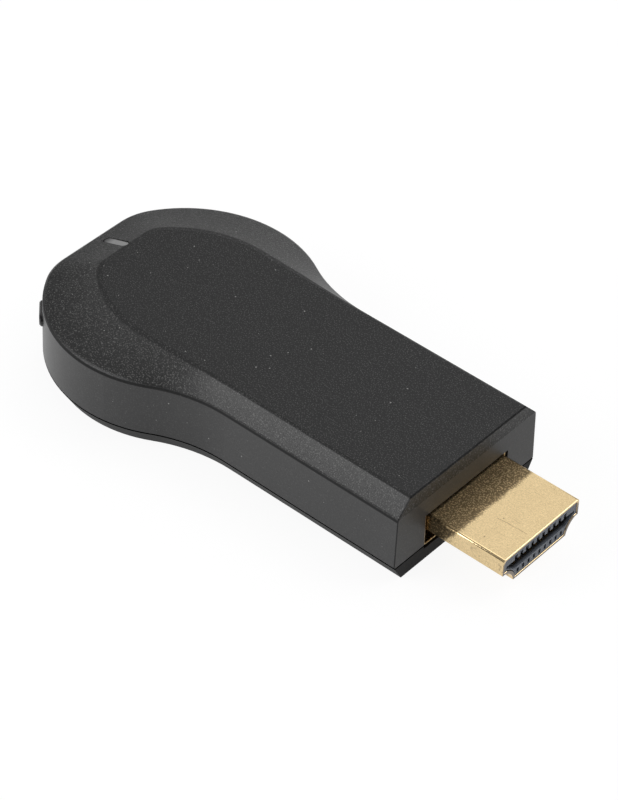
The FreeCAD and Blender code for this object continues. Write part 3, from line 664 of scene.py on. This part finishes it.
class PlugSettings(bpy.types.PropertyGroup):
    gold_colour: colour_property("Gold", "Pale gold plating", (0.78, 0.6, 0.335))
    root_colour: colour_property("Gold at the root", "Duller plating next to the case", (0.28, 0.205, 0.11))
    stain_colour: colour_property("Stains", "Stains, specks and scratches", (0.16, 0.115, 0.065))
    cut_colour: colour_property("Cut edge", "Bare cut edge of the sheet", (0.14, 0.13, 0.13))
    gold_roughness: share_property("Gold roughness", "Roughness of the plating", 0.13)
    root_reach: length_property("Root band", "Where the duller plating ends, along X", END_FACE + 0.0046)
    edge_round: length_property("Sheet edge", "Radius of the folded sheet's edges", 0.0001)
    insert_colour: colour_property("Insert", "Blue-grey moulded insert", (0.13, 0.145, 0.17))
    # Painted shade colour inside the slots and cavity
    slot_shade_colour: colour_property("Insert depth", "Inside of its slots and cavity", (0.01, 0.011, 0.013))
    contact_colour: colour_property("Contacts", "Bright gold contacts", (0.9, 0.62, 0.24))


class InsideSettings(bpy.types.PropertyGroup):
    board_colour: colour_property("Board", "Lacquer of the circuit board", (0.012, 0.035, 0.022))
    track_colour: colour_property("Tracks", "Lacquer over the copper tracks", (0.03, 0.08, 0.045))
    tin_colour: colour_property("Tin", "Tinned steel of cans and shells", (0.62, 0.62, 0.63))
    chip_colour: colour_property("Chips", "Moulded chip cases", (0.016, 0.016, 0.017))
    socket_colour: colour_property("Socket insert", "Black moulded socket and switch", (0.012, 0.012, 0.012))
    ceramic_colour: colour_property("Capacitors", "Ceramic of the capacitors", (0.36, 0.26, 0.16))
    lens_colour: colour_property("Light", "Top of the indicator light", (0.8, 0.8, 0.74))
    pad_colour: colour_property("Heat pads", "Soft heat pads", (0.28, 0.3, 0.34))
    plate_colour: colour_property("Heat plate", "Aluminium heat spreader", (0.72, 0.73, 0.74))


# Operators

class STICK_OT_stage(bpy.types.Operator):
    """Makes the floor, the lights, the surroundings and the camera"""
    bl_idname = "stick.stage"
    bl_label = "Stage"

    def execute(self, context):
        studio = context.scene.stick_studio
        floor = round_floor(studio.floor_radius)
        paint_floor(floor, studio)
        paint_world(studio)
        softbox("key_light", turn=-124, height=29, distance=0.8, width=0.5, level=studio.key_level)
        softbox("back_light", turn=131, height=46, distance=0.9, width=0.75, level=studio.back_level)
        softbox("top_light", turn=80, height=68, distance=1.0, width=0.8, level=studio.top_level)
        softbox("low_light", turn=112, height=13, distance=0.8, width=0.34, level=studio.low_level)
        softbox("side_light", turn=49, height=42, distance=0.9, width=0.5, level=studio.side_level)
        place_camera(context.scene.stick_view)
        context.scene.view_settings.view_transform = "Standard"
        return {"FINISHED"}


class STICK_OT_case(bpy.types.Operator):
    """Finishes the upper case and the bottom cover"""
    bl_idname = "stick.case"
    bl_label = "Case"

    def execute(self, context):
        settings = context.scene.stick_case
        dress(finish("case_top", case_plastic(settings, upper_zones)), "top_shell")
        dress(finish("case_bottom", case_plastic(settings, cover_zones)), "bottom_cover")
        return {"FINISHED"}


class STICK_OT_reset_button(bpy.types.Operator):
    """Finishes the reset button"""
    bl_idname = "stick.reset_button"
    bl_label = "Reset button"

    def execute(self, context):
        dress(finish("button_black", gloss_black(context.scene.stick_case)), "reset_button")
        return {"FINISHED"}


class STICK_OT_light(bpy.types.Operator):
    """Finishes the light pipe and the light below it"""
    bl_idname = "stick.light"
    bl_label = "Light"

    def execute(self, context):
        dress(finish("light_grey", light_plastic(context.scene.stick_case)), "light_pipe")
        dress(finish("led_white", moulded(context.scene.stick_inside.lens_colour, 0.2)), "indicator_led")
        return {"FINISHED"}


class STICK_OT_plug(bpy.types.Operator):
    """Finishes the video plug: shell, collar, insert and contacts"""
    bl_idname = "stick.plug"
    bl_label = "Video plug"

    def execute(self, context):
        settings = context.scene.stick_plug
        dress(finish("plug_gold", worn_gold(settings)), "plug_shell", "plug_collar")
        dress(finish("insert_grey", insert_plastic(settings)), "plug_core")
        contact_gold = finish("contact_gold", metal(settings.contact_colour, 0.2))
        dress(contact_gold, "plug_upper_contacts", "plug_lower_contacts", "usb_contacts")
        soften(settings.edge_round, 2, "plug_shell", "plug_collar")
        return {"FINISHED"}


class STICK_OT_socket(bpy.types.Operator):
    """Finishes the power socket and the switch behind the reset button"""
    bl_idname = "stick.socket"
    bl_label = "Power socket and switch"

    def execute(self, context):
        settings = context.scene.stick_inside
        dress(finish("tin_steel", metal(settings.tin_colour, 0.28)),
              "usb_shell", "switch_cover", "switch_dome", "crystal", "antenna",
              "lower_shield_can", "shield_frame", "shield_can")
        dress(finish("socket_black", moulded(settings.socket_colour, 0.4)),
              "usb_tongue", "switch_base", "switch_plunger")
        return {"FINISHED"}


class STICK_OT_board(bpy.types.Operator):
    """Finishes the circuit board, its chips, coils and capacitors, and the heat path"""
    bl_idname = "stick.board"
    bl_label = "Board"

    def execute(self, context):
        settings = context.scene.stick_inside
        dress(finish("board_black", board_lacquer(settings)), "circuit_board")
        dress(finish("chip_black", chip_case(settings)),
              "processor", "memory_chip", "flash_chip", "power_chip", "inductors", "wireless_module")
        dress(finish("capacitor_tan", moulded(settings.ceramic_colour, 0.5)), "capacitors")
        dress(finish("pad_grey", moulded(settings.pad_colour, 0.8)), "processor_pad", "spreader_pad")
        dress(finish("spreader_aluminium", metal(settings.plate_colour, 0.3)), "heat_spreader")
        return {"FINISHED"}


class STICK_PT_panel(bpy.types.Panel):
    """Lists the steps that finish the stick"""
    bl_idname = "STICK_PT_panel"
    bl_label = "Media stick"
    bl_space_type = "VIEW_3D"
    bl_region_type = "UI"
    bl_category = "Media stick"

    def draw(self, context):
        for step in STEPS:
            self.layout.operator(step.bl_idname)


STEPS = (STICK_OT_stage, STICK_OT_case, STICK_OT_reset_button, STICK_OT_light,
         STICK_OT_plug, STICK_OT_socket, STICK_OT_board)
GROUPS = {"stick_studio": StudioSettings, "stick_view": ViewSettings, "stick_case": CaseSettings,
          "stick_plug": PlugSettings, "stick_inside": InsideSettings}


def register():
    for group in GROUPS.values():
        bpy.utils.register_class(group)
    for name, group in GROUPS.items():
        setattr(bpy.types.Scene, name, bpy.props.PointerProperty(type=group))
    for part in STEPS + (STICK_PT_panel,):
        bpy.utils.register_class(part)


def unregister():
    for part in (STICK_PT_panel,) + STEPS:
        bpy.utils.unregister_class(part)
    for name, group in GROUPS.items():
        delattr(bpy.types.Scene, name)
        bpy.utils.unregister_class(group)


def main():
    register()
    bpy.ops.stick.stage()
    bpy.ops.stick.case()
    bpy.ops.stick.reset_button()
    bpy.ops.stick.light()
    bpy.ops.stick.plug()
    bpy.ops.stick.socket()
    bpy.ops.stick.board()


if __name__ == "__main__":
    main()
